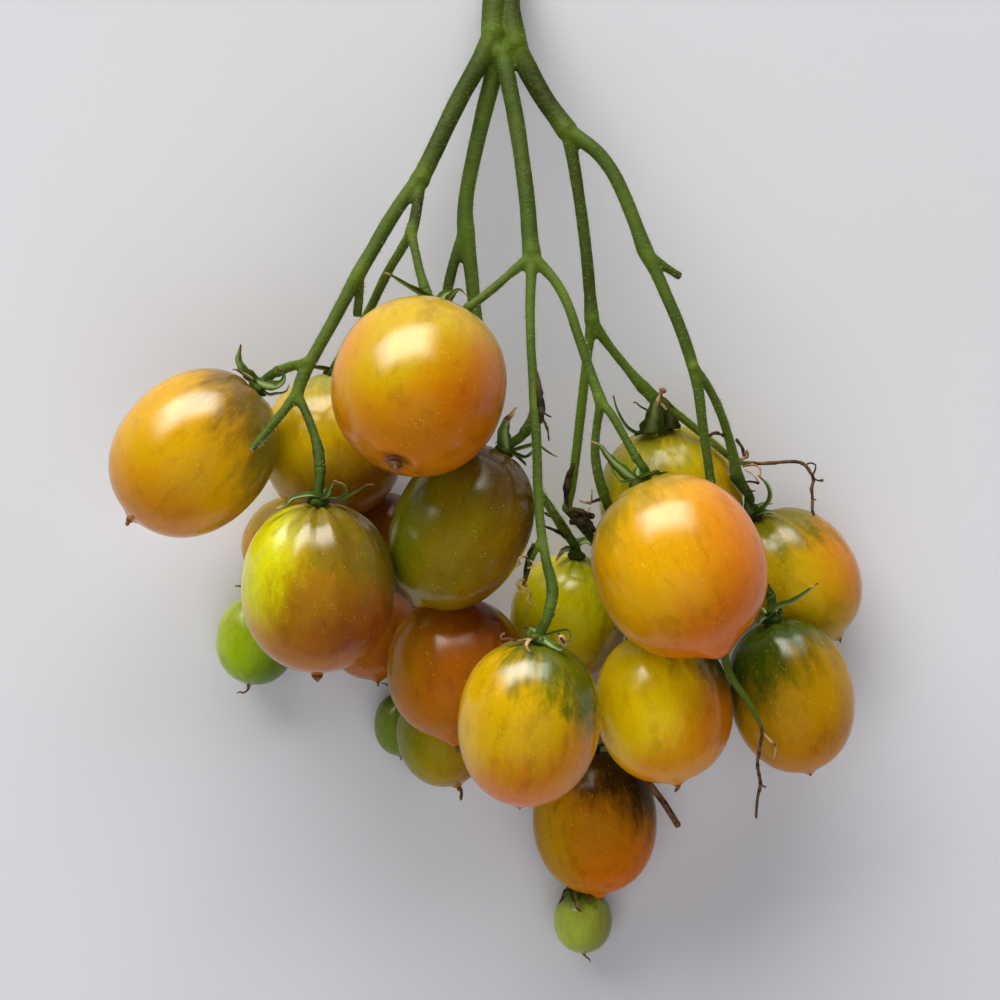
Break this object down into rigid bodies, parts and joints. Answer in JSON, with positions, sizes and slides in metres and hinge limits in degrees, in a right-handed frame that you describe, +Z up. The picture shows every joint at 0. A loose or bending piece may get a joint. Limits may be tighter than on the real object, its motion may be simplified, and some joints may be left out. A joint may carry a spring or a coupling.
{
  "type": "tomato truss",
  "caption": "Cut bunch of small oval tomatoes ripening from green to orange, on one branching green stalk, laid down with the stalk pointing back.",
  "frame": {"origin": "middle of the bounding box, on the surface that the truss lies on", "axes": "+Y along the stalk towards its cut end, +Z up from the surface, +X to the right in the view from above with the stalk pointing up"},
  "size_m": [0.1906, 0.2626, 0.0891],
  "materials": {
    "ripe_skin": "smooth glossy fruit skin, yellow-orange flushed with orange-red, olive at the stem end",
    "turning_skin": "smooth glossy fruit skin, olive and green shoulder streaked into yellow and brown-orange",
    "green_skin": "smooth glossy unripe skin, lime green with darker streaks",
    "stalk_skin": "dull fresh green stem with fine pale hairs and paler crotches, brown dry tips",
    "calyx_skin": "dull green curled sepals with dry brown tips"
  },
  "bodies": {
    "root": {"truss_stalk": "stalk_skin", "tomato_01": "ripe_skin", "calyx_01": "calyx_skin", "tomato_02": "ripe_skin", "calyx_02": "calyx_skin", "tomato_03": "turning_skin", "calyx_03": "calyx_skin", "tomato_04": "turning_skin", "calyx_04": "calyx_skin", "tomato_05": "turning_skin", "calyx_05": "calyx_skin", "tomato_06": "ripe_skin", "calyx_06": "calyx_skin", "tomato_07": "turning_skin", "calyx_07": "calyx_skin", "tomato_08": "turning_skin", "calyx_08": "calyx_skin", "tomato_09": "turning_skin", "calyx_09": "calyx_skin", "tomato_10": "turning_skin", "calyx_10": "calyx_skin", "tomato_11": "turning_skin", "calyx_11": "calyx_skin", "tomato_12": "ripe_skin", "calyx_12": "calyx_skin", "tomato_13": "turning_skin", "calyx_13": "calyx_skin", "tomato_14": "turning_skin", "calyx_14": "calyx_skin", "tomato_15": "green_skin", "calyx_15": "calyx_skin", "tomato_16": "green_skin", "calyx_16": "calyx_skin", "tomato_17": "turning_skin", "calyx_17": "calyx_skin", "tomato_18": "green_skin", "calyx_18": "calyx_skin", "tomato_19": "turning_skin", "calyx_19": "calyx_skin", "tomato_20": "ripe_skin", "calyx_20": "calyx_skin", "tomato_21": "turning_skin", "calyx_21": "calyx_skin"}
  },
  "joints": []
}
